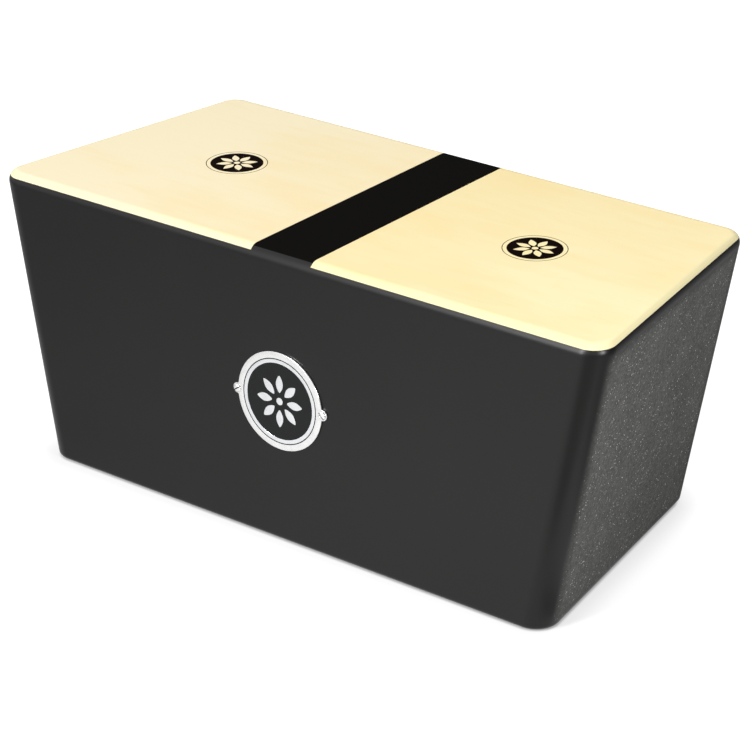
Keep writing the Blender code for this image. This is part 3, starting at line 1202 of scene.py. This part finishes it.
@dataclass
class Badge:
    """Round plate with two ears, black enamel in its middle, a raised flower on that, and a pin in each ear.

    Its heights are measured from the front wall towards the viewer.
    """

    shift: float
    height: float
    offset: float = 0.0013
    radius: float = 0.0355
    ear_from_middle: float = 0.036
    ear_radius: float = 0.0038
    ear_blend: float = 0.022
    hub: float = 0.001
    back: float = 0.0003
    back_edge: float = 0.0002
    face: float = 0.0015
    edge: float = 0.0004
    crown: float = 0.00012
    groove_radius: float = 0.0306
    groove_half_width: float = 0.00036
    groove_depth: float = 0.0004
    groove_draft: float = 0.00006
    groove_slack: float = 0.00002
    band_end: float = 0.0276
    band_edge: float = 0.0001
    pocket_depth: float = 0.0007
    enamel_gap: float = 0.00005
    enamel_lift: float = 0.00002
    enamel_drop: float = 0.00018
    enamel_dip: float = 0.00006
    enamel_hole: float = 0.015
    ornament_root: float = 0.0002
    petal_rise: float = 0.00034
    petal_tuck: float = 0.00004
    petal_tip: float = 0.006
    boss_rise: float = 0.00042
    boss_hub: float = 0.0004
    boss_turn: float = 0.93 * QUARTER
    pin_seat: float = 0.0018
    pin_radius: float = 0.0030
    pin_height: float = 0.0012
    pin_shank: float = 0.0010
    pin_length: float = 0.0080
    pin_hub: float = 0.0002
    pin_tip: float = 0.00005
    pin_edge: float = 0.0001
    slot_half_width: float = 0.00034
    slot_walls: tuple[float, float] = (0.8, 1.25)
    slot_reach: float = 1.1
    slot_depth: float = 0.00045
    slot_angles: tuple[float, float] = (0.62, 2.35)
    plate_facets: int = 720
    enamel_facets: int = 192
    boss_facets: int = 64
    pin_facets: int = 128
    petal_facets: tuple[int, int] = (36, 20)
    edge_facets: int = 6
    band_facets: int = 10
    field_facets: int = 12
    dome_facets: int = 20

    @property
    def middle(self) -> tuple[float, float]:
        """Where the badge's middle stands in X and Z."""
        return self.offset, self.height

    @property
    def root(self) -> float:
        """Height that the ornament rises from, a little below the enamel's face."""
        return self.face - self.enamel_drop - self.ornament_root

    def rim(self) -> Array:
        """Edge of the plate: its circle, or the far side of an ear's where that is more.

        The far side of an ear lies at d cos a + the root of (r squared less (d sin a) squared), for an ear of
        radius r at a distance d. Beside the ear the step to the plate's circle is eased over a few degrees.

        Returns:
            Radius at each angle.
        """
        angle = full_turn(self.plate_facets)
        off_axis = np.abs(np.arcsin(np.sin(angle)))
        reach = self.ear_from_middle * np.sin(off_axis)
        ear = self.ear_from_middle * np.cos(off_axis)
        ear += np.sqrt(np.maximum(0.0, self.ear_radius**2 - reach**2))
        edge_angle = math.asin(self.ear_radius / self.ear_from_middle)
        beside = np.maximum(0.0, off_axis - edge_angle)
        step = self.ear_from_middle * math.cos(edge_angle) - self.radius
        circle = self.radius + step * np.exp(-beside / self.ear_blend)
        return np.where(off_axis < edge_angle, np.maximum(ear, self.radius), circle)

    def band(self, outer: Array | float, inner: float, count: int, crown: float) -> list[tuple]:
        """Band of the plate between two radii, crowned by the sine of half a turn along the way.

        Args:
            outer: Radius that it starts from.
            inner: Radius that it ends at.
            count: Facets along the way.
            crown: How far its middle stands above its edges.

        Returns:
            Radius and height of each row.
        """
        shares = steps(0.0, 1.0, count)
        heights = self.face + crown * np.sin(math.pi * shares)
        return [(outer * (1.0 - share) + inner * share, height) for share, height in zip(shares, heights)]

    def plate(self) -> Loft:
        """Stamped plate: eased edge, slightly crowned outer band, fine groove, inner band and enamel pocket.

        Returns:
            The solid, loops from the middle of its back round the edge to the middle of the pocket.
        """
        rim = self.rim()
        outside, inside = (self.groove_radius + way * self.groove_half_width for way in (1, -1))
        groove_floor, pocket_floor = self.face - self.groove_depth, self.face - self.pocket_depth
        rounded = zip(*rounding(self.edge, steps(0.0, QUARTER, self.edge_facets)))
        rows = [
            (self.hub, self.back),
            (rim / 2, self.back),
            (rim - self.back_edge, self.back),
            (rim, self.back + self.back_edge),
            *((rim - inset, self.face - below) for inset, below in rounded),
            *self.band(rim - self.edge, outside, self.band_facets, self.crown)[1:],
            (outside - self.groove_draft, groove_floor),
            (inside + self.groove_draft, groove_floor),
            *self.band(inside, self.band_end + self.band_edge, self.edge_facets, self.crown / 2),
            (self.band_end, self.face - self.band_edge),
            (self.band_end, pocket_floor),
            (self.hub, pocket_floor),
        ]
        radii = np.stack([radius + 0.0 * rim for radius, _ in rows])
        depths = -np.array([height for _, height in rows])
        return Loft(turned(radii, depths, self.middle, self.plate_facets))

    def enamel(self) -> Loft:
        """Enamel: a disc in the pocket whose face dips towards its edge by the fourth power of the radius.

        Returns:
            The solid, loops from the middle of its back to the middle of its face.
        """
        radius = self.band_end - self.enamel_gap
        share = steps(0.0, 1.0, self.field_facets)
        face = self.face - self.enamel_drop - self.enamel_dip * share[::-1] ** 4
        radii = np.concatenate([[self.hub, radius], radius * (1.0 - (1.0 - self.enamel_hole) * share)])
        floor = self.face - self.pocket_depth + self.enamel_lift
        return Loft(turned(radii, -np.concatenate([[floor, floor], face]), self.middle, self.enamel_facets))

    def petal(self, flower: Rosette, angle: float) -> Loft:
        """Petal as loops along its length: each an oval as wide as the petal there and raised in its middle.

        Its rise is the most it has times the root of the sine of half a turn along its length.

        Args:
            flower: The flower that it belongs to.
            angle: Where it points.

        Returns:
            The solid.
        """
        length_facets, round_facets = self.petal_facets
        along = steps(self.petal_tip, 1.0 - self.petal_tip, length_facets)[:, None]
        around = full_turn(round_facets)
        out = flower.inner + (flower.outer - flower.inner) * along
        across = flower.half_width * np.sin(math.pi * along) * np.cos(around)
        rise = self.petal_rise * np.sqrt(np.sin(math.pi * along)) * np.maximum(0.0, np.sin(around))
        height = self.root + rise + self.petal_tuck * np.minimum(0.0, np.sin(around))
        cosine, sine = math.cos(angle), math.sin(angle)
        right, up = out * cosine - across * sine, out * sine + across * cosine
        return Loft(np.stack([self.offset + right, -height, self.height + up], axis=-1))

    def flower(self, flower: Rosette) -> list[Loft]:
        """All petals, and the boss in their middle, which is a dome.

        Args:
            flower: Its sizes.

        Returns:
            The solids.
        """
        petals = [self.petal(flower, math.tau * number / flower.petals) for number in range(flower.petals)]
        turn = steps(0.0, self.boss_turn, self.band_facets)
        radii = np.concatenate([[self.boss_hub], flower.boss * np.cos(turn)])
        heights = self.root + self.boss_rise * np.concatenate([[0.0], np.sin(turn)])
        return [*petals, Loft(turned(radii, -heights, self.middle, self.boss_facets))]

    def pin(self, side: Side, slot_angle: float) -> Loft:
        """Pin: plain shank, flat under its head, and a domed head with a slot sunk across it.

        Args:
            side: Which ear it goes through.
            slot_angle: Angle of the slot from X.

        Returns:
            The solid, loops from the shank's end to the top of the head.
        """
        turn = steps(0.0, QUARTER, self.dome_facets)
        shank = [self.pin_hub, self.pin_shank, self.pin_shank, self.pin_radius - self.pin_edge]
        radii = np.concatenate([shank, np.maximum(self.pin_radius * np.cos(turn), self.pin_tip)])
        under = [-self.pin_length, -self.pin_length, self.pin_seat, self.pin_seat]
        heights = np.concatenate([under, self.pin_seat + self.pin_height * np.sin(turn)])[:, None]
        off_slot = np.abs(radii[:, None] * np.sin(full_turn(self.pin_facets) - slot_angle))
        low, high = (self.slot_half_width * share for share in self.slot_walls)
        on_head = (np.arange(len(radii)) >= len(shank))[:, None]
        floor = self.pin_seat + self.pin_height - self.slot_depth
        sunk = np.maximum(0.0, heights - floor) * (1.0 - ease(low, high, off_slot)) * on_head
        middle = (self.offset + side.value * self.ear_from_middle, self.height)
        return Loft(turned(radii, -(heights - sunk), middle, self.pin_facets))

    def in_groove(self, middles: Array) -> Array:
        """Which faces of the plate line its groove; they take the black enamel."""
        away = np.hypot(middles[:, 0] - self.offset, middles[:, 2] - self.height)
        return np.abs(away - self.groove_radius) < self.groove_half_width + self.groove_slack

    def in_slot(self, middles: Array, side: Side, slot_angle: float) -> Array:
        """Which faces of a pin's head line its slot.

        Args:
            middles: Middle of each face.
            side: Which ear the pin goes through.
            slot_angle: Angle of the slot from X.

        Returns:
            True for each face that does.
        """
        across = middles[:, 0] - self.offset - side.value * self.ear_from_middle
        up = middles[:, 2] - self.height
        off_slot = np.abs(up * math.cos(slot_angle) - across * math.sin(slot_angle))
        on_head = middles[:, 1] - self.shift < -self.pin_seat - self.pin_edge
        return (off_slot < self.slot_half_width * self.slot_reach) & on_head

    def build(self, plated: Material, black: Material) -> None:
        """Makes the plate, the enamel, the flower and the pins.

        Args:
            plated: Bright plate.
            black: Enamel, which also goes on the faces of the groove, and on the slots as painted shade.
        """
        plate = make_piece("stamped_badge_plate", [self.plate()], self.shift)
        finish_faces(plate, (plated, black), self.in_groove(read_values(plate.data.polygons, "center")))
        take_place("badge_plate")
        disc = make_piece("badge_enamel_field", [self.enamel()], self.shift)
        disc.data.materials.append(black)
        take_place("badge_enamel")
        flower = make_piece("badge_flower", self.flower(Rosette()), self.shift)
        flower.data.materials.append(plated)
        for side, slot_angle in zip(Side, self.slot_angles):
            pin = make_piece(f"slotted_pin_{side.hand}", [self.pin(side, slot_angle)], self.shift)
            middles = read_values(pin.data.polygons, "center")
            # painted shade: the slot's faces take the black enamel for the shade in the recess
            finish_faces(pin, (plated, black), self.in_slot(middles, side, slot_angle))
            take_place(f"badge_pin_{side.hand}")


def stand(item: Piece, right: Place | Array, up: Place | Array, back: Place | Array, place: Place) -> None:
    """Sets an object up in the scene by its place and the directions of its three axes.

    Args:
        item: Camera or lamp, which looks the way opposite to back.
        right: Direction of its X axis.
        up: Direction of its Y axis.
        back: Direction of its Z axis.
        place: Where it stands.
    """
    turn = np.eye(4)
    turn[:3] = np.array([right, up, back, place]).T
    item.matrix_world = Matrix(turn.tolist())
    bpy.context.scene.collection.objects.link(item)


@dataclass(frozen=True)
class Softbox:
    """Rectangular soft light, level along its width and turned to a target."""

    name: str
    place: Place
    size: tuple[float, float]
    watts: float
    target: Place = (0.0, 0.0, 0.15)

    def build(self) -> None:
        """Makes the light: back runs from the target to its place, and right is level and square to it."""
        data = bpy.data.lights.new(self.name, "AREA")
        data.shape = "RECTANGLE"
        data.size, data.size_y = self.size
        data.energy = self.watts
        back = np.array(self.place) - np.array(self.target)
        back /= np.linalg.norm(back)
        right = np.cross((0.0, 0.0, 1.0), back)
        right /= np.linalg.norm(right)
        stand(bpy.data.objects.new(self.name, data), right, np.cross(back, right), back, self.place)


@dataclass
class Studio:
    """Pale floor, a tall softbox in front, a high one behind, a small one at the right, and the camera.

    The camera stands where the photograph's did, worked out from the straight edges of the case.
    """

    form: CaseForm
    shift: float
    camera_place: Place = (1.0642, -1.4132, 0.91153)
    camera_right: Place = (0.797397, 0.603453, 0.00166)
    camera_up: Place = (-0.257141, 0.337293, 0.9056)
    camera_back: Place = (0.545927, -0.72255, 0.42413)
    lens: float = 134.3
    sensor: float = 36.0
    view_end: float = 60.0
    softboxes: tuple[Softbox, ...] = (
        Softbox("tall_softbox", (-0.46, -2.01, 1.36), (0.50, 1.95), 68.0),
        Softbox("high_softbox", (0.10, 0.71, 1.91), (0.9, 0.9), 15.0),
        Softbox("small_softbox", (0.84, -0.25, 0.37), (0.17, 0.30), 3.2, (0.24, -0.09, 0.20)),
    )
    floor_half: float = 12.0
    floor_colour: Colour = grey(0.31)
    foot_margin: float = 0.004
    # painted shadow: the floor's glow is lowest at the foot and rises with the distance from it
    painted_shadow_glow_foot: Ramp = Ramp(-0.0015, 0.0017, 0.24, 0.68)
    painted_shadow_glow_near: Ramp = Ramp(0.0, 0.024, 0.0, 0.17)
    painted_shadow_glow_far: Ramp = Ramp(0.0, 0.7, 0.0, 0.16)
    # painted reflection: what a shine sees of the floor, paler towards the high drum and darker in patches
    # beside the high end, ahead of its near corner and behind it
    sheen_along: Ramp = Ramp(-0.60, 0.15, 0.17, 0.65)
    sheen_kept: Ramp = Ramp(0.0, 1.0, 1.0, 0.15)
    end_along: Ramp = Ramp(0.21, 0.24)
    end_away: Ramp = Ramp(0.07, 0.0)
    end_across: Ramp = Ramp(0.06, -0.06)
    ahead_along: Ramp = Ramp(0.17, 0.28, 0.0, 0.80)
    ahead_across: Ramp = Ramp(-0.15, -0.24)
    back_along: Ramp = Ramp(0.12, 0.22)
    back_away: Ramp = Ramp(0.04, 0.20, 0.0, 0.9)
    dark_way: tuple[float, float] = (0.55, 0.83)
    background: float = 0.982
    room_shine: Ramp = Ramp(-0.10, 0.55, 0.982, 0.16)
    room_light: float = 0.14

    def add_camera(self) -> None:
        """Makes the camera and looks through it."""
        data = bpy.data.cameras.new("camera")
        data.sensor_width = self.sensor
        data.lens = self.lens
        data.clip_end = self.view_end
        camera = bpy.data.objects.new("camera", data)
        stand(camera, self.camera_right, self.camera_up, self.camera_back, self.camera_place)
        bpy.context.scene.camera = camera

    def seen(self, tree: Tree, straight: Input, turned_back: Input) -> Socket:
        """One level for rays from the camera, another for rays off a shine or through glass, 0 for the rest.

        Args:
            tree: Tree of the floor's material or the world.
            straight: Level for the camera.
            turned_back: Level for a shine or glass.

        Returns:
            The level for each kind of ray.
        """
        path = tree.add("LightPath").outputs
        off_shine = tree.highest(path["Is Glossy Ray"], path["Is Transmission Ray"])
        direct = tree.product(path["Is Camera Ray"], straight)
        return tree.highest(direct, tree.product(off_shine, turned_back))

    def behind(self, tree: Tree, place: Socket) -> Socket:
        """How far a place or a direction lies behind the drum and to its right, where the room is darker."""
        here = tree.parts(place)
        return tree.total(*(tree.product(value, share) for value, share in zip(here, self.dark_way)))

    def off_foot(self, tree: Tree) -> Socket:
        """Distance on the floor outside the foot's rounded outline.

        It is that beyond an end and that beyond the front or back, each measured from a radius further in,
        squared, summed and rooted, less that radius.

        Args:
            tree: Tree of the floor's material.

        Returns:
            The distance, in metres.
        """
        form = self.form
        radius = form.corner + self.foot_margin
        along, deep, _ = tree.parts(tree.place((0.0, self.shift, 0.0)))
        inner_end = tree.less(float(form.reach(0.0, 0.0)) - radius, tree.product(deep, form.splay))
        past_end = tree.less(tree.math("ABSOLUTE", along), inner_end)
        off_middle = tree.math("ABSOLUTE", tree.less(deep, form.depth / 2))
        past_face = tree.less(off_middle, form.depth / 2 - radius)
        return tree.less(tree.distance(tree.highest(past_end, 0.0), tree.highest(past_face, 0.0)), radius)

    def floor_glow(self, tree: Tree) -> Socket:
        """Glow that brings the floor up to white, lowered as a painted shadow right beside the drum's foot
        and rising with the distance from it.

        For a shine the glow is a painted reflection: paler from the low drum to the high one, and darker
        beside the high end, ahead of its near corner and behind it.

        Args:
            tree: Tree of the floor's material.

        Returns:
            The level for each kind of ray.
        """
        away = self.off_foot(tree)
        glows = [tree.ramp(away, glow) for glow in (self.painted_shadow_glow_foot, self.painted_shadow_glow_near, self.painted_shadow_glow_far)]
        along, deep, _ = tree.parts(tree.place())
        behind = self.behind(tree, tree.place())
        patches = (
            ((along, self.end_along), (away, self.end_away), (deep, self.end_across)),
            ((along, self.ahead_along), (deep, self.ahead_across)),
            ((along, self.back_along), (behind, self.back_away)),
        )
        dims = [tree.product(*(tree.ramp(value, ramp) for value, ramp in patch)) for patch in patches]
        kept = tree.ramp(tree.highest(*dims), self.sheen_kept)
        sheen = tree.product(tree.ramp(along, self.sheen_along), kept)
        return self.seen(tree, tree.total(*glows), sheen)

    def add_floor(self) -> None:
        """Makes the pale floor, which keeps the drum's shadow."""
        half = self.floor_half
        mesh = bpy.data.meshes.new("floor")
        corners = [(-half, -half, 0.0), (half, -half, 0.0), (half, half, 0.0), (-half, half, 0.0)]
        mesh.from_pydata(corners, [], [(0, 1, 2, 3)])
        floor = bpy.data.objects.new("floor", mesh)
        bpy.context.scene.collection.objects.link(floor)
        material = bpy.data.materials.new("floor_white")
        tree = Tree(material)
        cloth = tree.add("BsdfDiffuse", {"Color": self.floor_colour})
        glow = tree.add("Emission", {"Strength": self.floor_glow(tree)})
        tree.end(tree.add("AddShader", {0: cloth.outputs[0], 1: glow.outputs[0]}))
        mesh.materials.append(material)

    def add_room(self) -> None:
        """Makes the even room light and white background; a shine shows the room darker behind the drum."""
        world = bpy.data.worlds.new("room")
        bpy.context.scene.world = world
        tree = Tree(world)
        behind = self.behind(tree, tree.add("TexCoord").outputs["Generated"])
        shown = self.seen(tree, self.background, tree.ramp(behind, self.room_shine))
        level = tree.highest(shown, self.room_light)
        tree.end(tree.add("Background", {"Color": grey(1.0), "Strength": level}), "OutputWorld")

    def build(self) -> None:
        """Makes the camera, the floor, the room and the lights."""
        self.add_camera()
        self.add_floor()
        self.add_room()
        for softbox in self.softboxes:
            softbox.build()
        bpy.context.scene.view_settings.view_transform = "Standard"


def dress_inside(bare: Material) -> None:
    """Puts bare board on the CAD nodes that stay: bottom, divider, beam and corner posts.

    Args:
        bare: Bare board.
    """
    posts = [f"{row}_{hand}_post" for row in ("front", "back") for hand in ("left", "right")]
    for node in ("bottom_panel", "divider", "bridge_beam", *posts):
        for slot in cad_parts[node].material_slots:
            slot.material = bare


def main() -> None:
    """Builds the drum piece by piece, then the room round it."""
    logging.basicConfig(level=logging.INFO, format="%(name)s: %(message)s")
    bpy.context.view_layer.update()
    form = CaseForm()
    shift = float(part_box("front_panel")[0][1])

    lacquer = Lacquer(Slot.LACQUER.value)
    flatted = Lacquer(
        "flatted_black_lacquer",
        colour=(0.0044, 0.0042, 0.0038),
        roughness=Ramp(0.3, 0.7, 0.575, 0.625),
        shine=0.003,
    )
    coat = GripCoat(Slot.GRIP_COAT.value, lacquer)
    bare = RawBoard(Slot.RAW_BOARD.value).build()
    badge = Badge(shift, form.height / 2)
    groove = Ramp(badge.groove_radius - badge.band_edge, badge.groove_radius + badge.band_edge)
    plated = Plated(Slot.PLATED.value, (badge.offset, 0.0, badge.height), groove)
    low_ply = PalePly(
        "pale_plywood_low",
        mark=(-0.1275, 0.1128 + shift, 0.0),
        top=form.height,
        light=(0.87, 0.775, 0.54),
        warm=(0.87, 0.725, 0.44),
        drift=Ramp(-0.12, 0.12, -0.40, 0.35),
        origin=(3.1, 2.17, 0.0),
    )
    high_ply = PalePly(
        "pale_plywood_high",
        mark=(0.12775, 0.1100 + shift, 0.0),
        top=form.height,
        light=(0.87, 0.775, 0.475),
        warm=(0.87, 0.715, 0.385),
        drift=Ramp(-0.12, 0.12, 0.35, -0.10),
        origin=(7.7, 5.39, 0.0),
    )

    paint = lacquer.build()
    Walls(form, shift).build(paint, coat.build(), bare, coat.cover)
    Top(form, shift).build({Side.LOW: low_ply.build(), Side.HIGH: high_ply.build()}, flatted.build(), paint)
    badge.build(plated.build(), Enamel(Slot.ENAMEL.value).build())
    dress_inside(bare)
    Studio(form, shift).build()

    log.info("case dressed")


if __name__ == "__main__":
    main()
